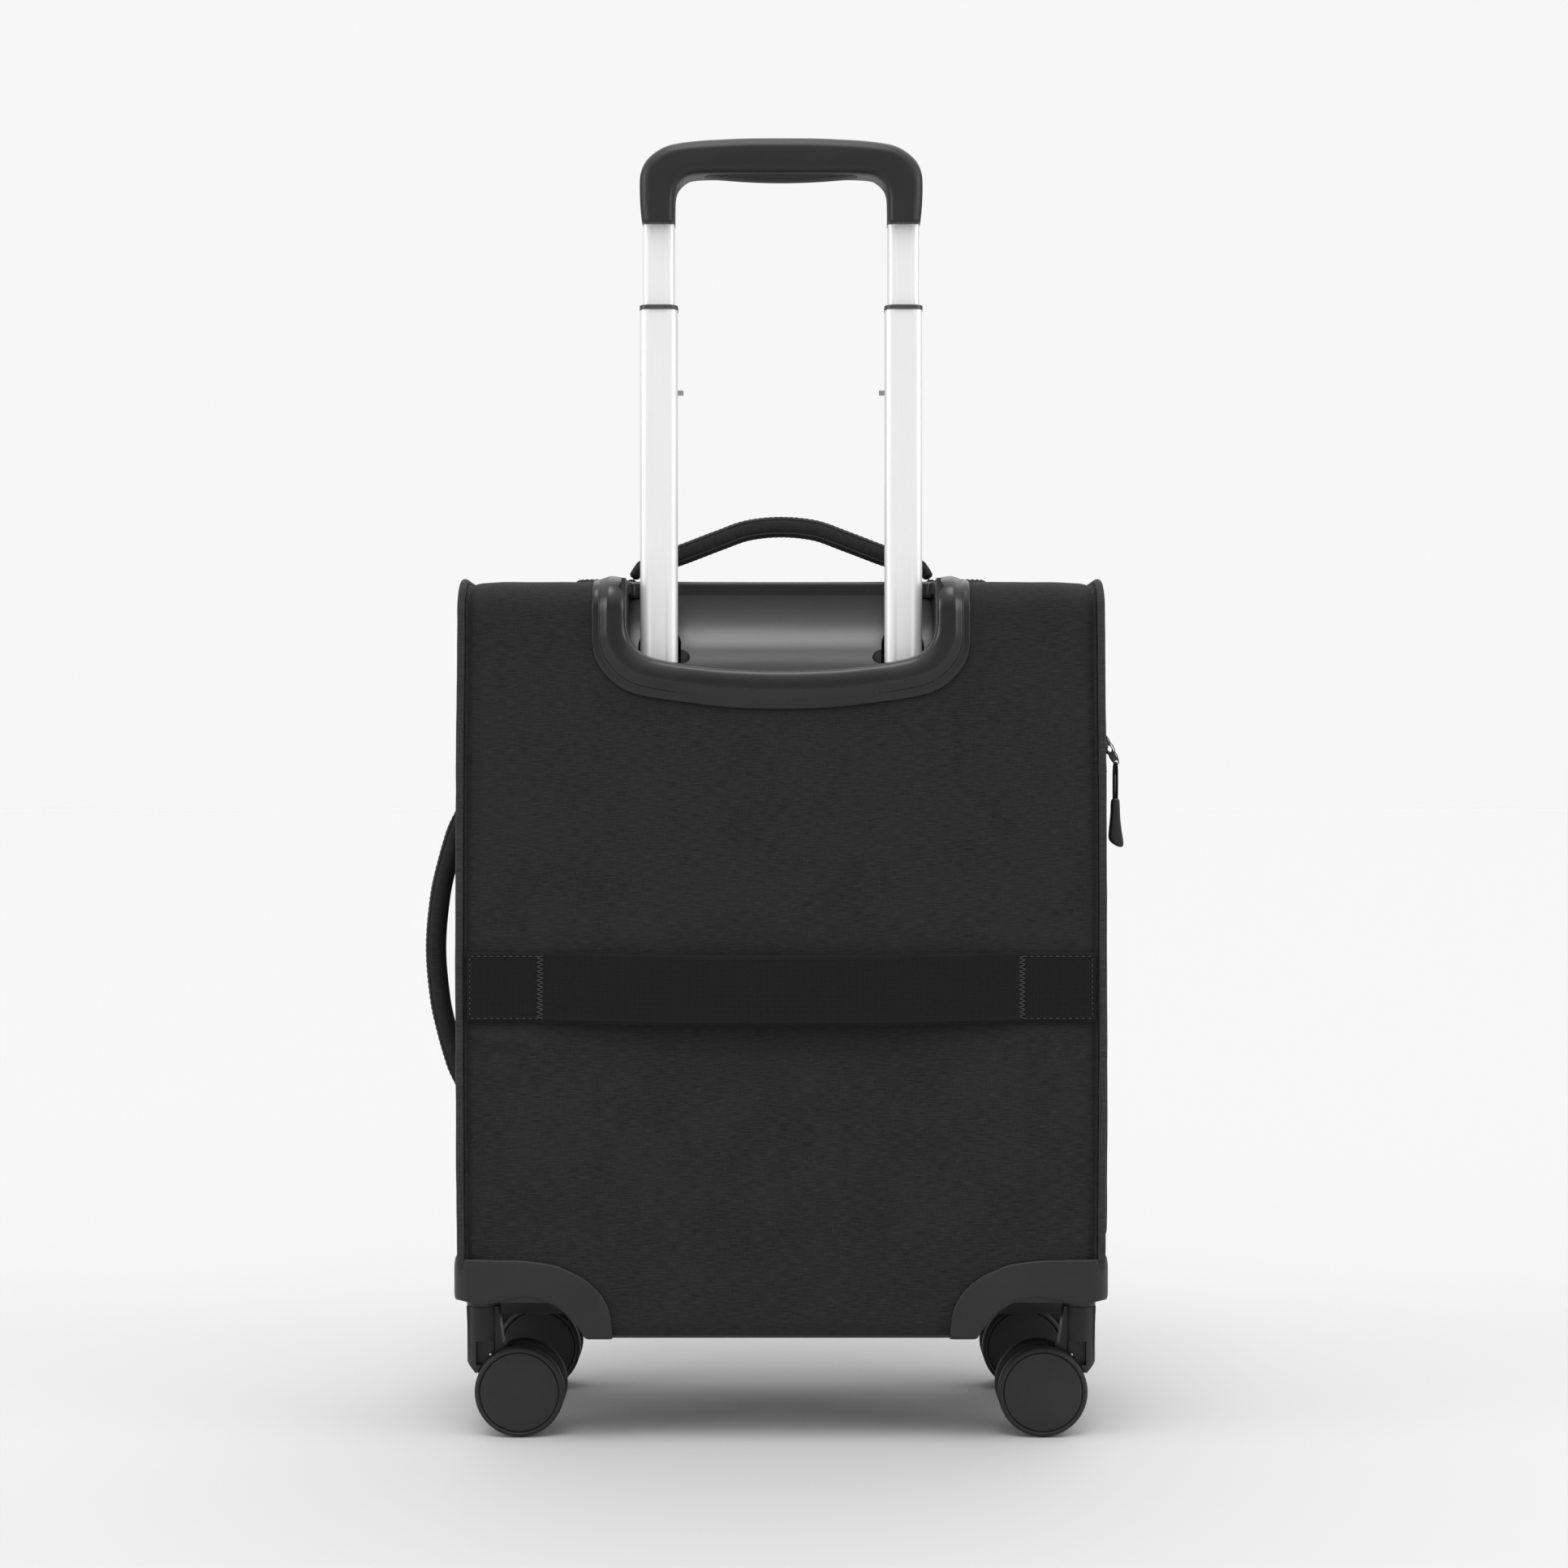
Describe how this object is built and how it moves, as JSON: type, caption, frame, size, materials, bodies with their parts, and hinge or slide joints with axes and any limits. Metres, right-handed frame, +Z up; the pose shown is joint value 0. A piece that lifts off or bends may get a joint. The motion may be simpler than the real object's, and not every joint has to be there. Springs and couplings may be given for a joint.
{
  "type": "softside upright suitcase",
  "caption": "Soft-sided upright case on swivelling twin-wheel casters, with a telescopic pull handle, carry handles, luggage strap and a hinged zip-up lid.",
  "frame": {"origin": "centre of the bounding box in plan, on the floor under the wheels", "axes": "+Z up, +Y out of the back (pull-handle and strap side), +X out of the side that has the carry handle"},
  "size_m": [0.4577, 0.2254, 0.8212],
  "materials": {
    "case_fabric": "matte",
    "piping_fabric": "matte",
    "handle_fabric": "matte",
    "webbing": "matte",
    "zip_tape": "matte",
    "base_plastic": "matte",
    "board_plastic": "matte",
    "guard_plastic": "satin",
    "bezel_plastic": "satin",
    "scoop_plastic": "satin",
    "caster_plastic": "satin",
    "collar_plastic": "satin",
    "grip_plastic": "satin",
    "grip_rubber": "matte",
    "button_plastic": "satin",
    "buckle_plastic": "satin",
    "wheel_plastic": "matte",
    "tyre_rubber": "matte",
    "pull_rubber": "matte",
    "tube_aluminium": "satin",
    "hoop_steel": "satin",
    "screw_steel": "satin",
    "pin_steel": "satin",
    "slider_metal": "satin"
  },
  "bodies": {
    "case": {"back_panel": "case_fabric", "top_panel": "case_fabric", "side_panel_left": "case_fabric", "side_panel_right": "case_fabric", "piping_left": "piping_fabric", "piping_right": "piping_fabric", "base_tray": "base_plastic", "front_sill": "case_fabric", "handle_bezel": "bezel_plastic", "handle_scoop": "scoop_plastic", "outer_tubes": "tube_aluminium", "foot_bracket": "base_plastic", "back_strap": "webbing", "side_pocket": "case_fabric", "side_pocket_zip": "zip_tape", "top_handle_anchors": "case_fabric", "side_handle_anchors": "case_fabric", "opening_hoop": "hoop_steel", "back_board": "board_plastic", "packing_straps": "webbing", "strap_buckles": "buckle_plastic", "main_zip": "zip_tape", "screws": "screw_steel", "caster_sockets": "caster_plastic", "corner_guard_back_left": "guard_plastic", "corner_guard_back_right": "guard_plastic", "corner_guard_front_left": "guard_plastic", "corner_guard_front_right": "guard_plastic"},
    "middle_stage": {"middle_tubes": "tube_aluminium", "tube_collars": "collar_plastic"},
    "upper_stage": {"upper_tubes": "tube_aluminium", "grip": "grip_plastic", "grip_insert": "grip_rubber"},
    "release_button": {"release_button": "button_plastic"},
    "lock_pin_left": {"lock_pin_left": "pin_steel"},
    "lock_pin_right": {"lock_pin_right": "pin_steel"},
    "top_handle": {"top_handle": "handle_fabric"},
    "side_handle": {"side_handle": "handle_fabric"},
    "lid": {"front_lid": "case_fabric", "front_pocket_lower": "case_fabric", "front_pocket_upper": "case_fabric", "pocket_zips": "zip_tape"},
    "main_slider_upper": {"main_slider_upper": "slider_metal"},
    "main_slider_lower": {"main_slider_lower": "slider_metal"},
    "side_pocket_slider": {"side_pocket_slider": "slider_metal", "side_pocket_link": "slider_metal"},
    "side_pocket_pull": {"side_pocket_pull": "pull_rubber"},
    "caster_back_left": {"caster_fork_back_left": "caster_plastic"},
    "wheels_back_left": {"wheel_hubs_back_left": "wheel_plastic", "wheel_tyres_back_left": "tyre_rubber"},
    "caster_back_right": {"caster_fork_back_right": "caster_plastic"},
    "wheels_back_right": {"wheel_hubs_back_right": "wheel_plastic", "wheel_tyres_back_right": "tyre_rubber"},
    "caster_front_left": {"caster_fork_front_left": "caster_plastic"},
    "wheels_front_left": {"wheel_hubs_front_left": "wheel_plastic", "wheel_tyres_front_left": "tyre_rubber"},
    "caster_front_right": {"caster_fork_front_right": "caster_plastic"},
    "wheels_front_right": {"wheel_hubs_front_right": "wheel_plastic", "wheel_tyres_front_right": "tyre_rubber"}
  },
  "joints": [
    {"name": "middle_stage_slide", "type": "slide", "parent": "case", "child": "middle_stage", "axis": [0, 0, 1], "range_m": [-0.228, 0.11]},
    {"name": "upper_stage_slide", "type": "slide", "parent": "middle_stage", "child": "upper_stage", "axis": [0, 0, 1], "range_m": [-0.051, 0]},
    {"name": "button_press", "type": "slide", "parent": "upper_stage", "child": "release_button", "axis": [0, 0, -1], "range_m": [0, 0.003], "stiffness_N_per_m": 400},
    {"name": "lock_pin_left_slide", "type": "slide", "parent": "upper_stage", "child": "lock_pin_left", "axis": [1, 0, 0], "range_m": [0, 0.0037]},
    {"name": "lock_pin_right_slide", "type": "slide", "parent": "upper_stage", "child": "lock_pin_right", "axis": [-1, 0, 0], "range_m": [0, 0.0037]},
    {"name": "top_handle_hinge", "type": "hinge", "parent": "case", "child": "top_handle", "pos_m": [0, 0.028, 0.549], "axis": [1, 0, 0], "range_deg": [-35, 35], "stiffness_Nm_per_rad": 0.12},
    {"name": "side_handle_hinge", "type": "hinge", "parent": "case", "child": "side_handle", "pos_m": [0.2072, 0.028, 0.306], "axis": [0, 0, 1], "range_deg": [-30, 30], "stiffness_Nm_per_rad": 0.12},
    {"name": "lid_hinge", "type": "hinge", "parent": "case", "child": "lid", "pos_m": [-0.1985, -0.0723, 0.33], "axis": [0, 0, -1], "range_deg": [0, 110]},
    {"name": "main_slider_upper_slide", "type": "slide", "parent": "case", "child": "main_slider_upper", "axis": [0, 0, 1], "range_m": [0, 0.16]},
    {"name": "main_slider_lower_slide", "type": "slide", "parent": "case", "child": "main_slider_lower", "axis": [0, 0, 1], "range_m": [-0.16, 0]},
    {"name": "side_pocket_slide", "type": "slide", "parent": "case", "child": "side_pocket_slider", "axis": [0, 1, 0], "range_m": [-0.05, 0.044]},
    {"name": "side_pocket_pull_swing", "type": "hinge", "parent": "side_pocket_slider", "child": "side_pocket_pull", "pos_m": [-0.2194, 0.028, 0.4268], "axis": [0, 1, 0], "range_deg": [-4, 60]},
    {"name": "swivel_back_left", "type": "hinge", "parent": "case", "child": "caster_back_left", "pos_m": [0.19, 0.068, 0.05], "axis": [0, 0, 1], "continuous": true},
    {"name": "spin_back_left", "type": "hinge", "parent": "caster_back_left", "child": "wheels_back_left", "pos_m": [0.1656, 0.068, 0.0284], "axis": [0, 1, 0], "continuous": true},
    {"name": "swivel_back_right", "type": "hinge", "parent": "case", "child": "caster_back_right", "pos_m": [-0.19, 0.068, 0.05], "axis": [0, 0, 1], "continuous": true},
    {"name": "spin_back_right", "type": "hinge", "parent": "caster_back_right", "child": "wheels_back_right", "pos_m": [-0.1656, 0.068, 0.0284], "axis": [0, 1, 0], "continuous": true},
    {"name": "swivel_front_left", "type": "hinge", "parent": "case", "child": "caster_front_left", "pos_m": [0.19, -0.05, 0.05], "axis": [0, 0, 1], "continuous": true},
    {"name": "spin_front_left", "type": "hinge", "parent": "caster_front_left", "child": "wheels_front_left", "pos_m": [0.1656, -0.05, 0.0284], "axis": [0, 1, 0], "continuous": true},
    {"name": "swivel_front_right", "type": "hinge", "parent": "case", "child": "caster_front_right", "pos_m": [-0.19, -0.05, 0.05], "axis": [0, 0, 1], "continuous": true},
    {"name": "spin_front_right", "type": "hinge", "parent": "caster_front_right", "child": "wheels_front_right", "pos_m": [-0.1656, -0.05, 0.0284], "axis": [0, 1, 0], "continuous": true}
  ],
  "couplings": [
    {"joint": "lock_pin_left_slide", "follows": "button_press", "ratio": 1.2},
    {"joint": "lock_pin_right_slide", "follows": "button_press", "ratio": 1.2}
  ]
}
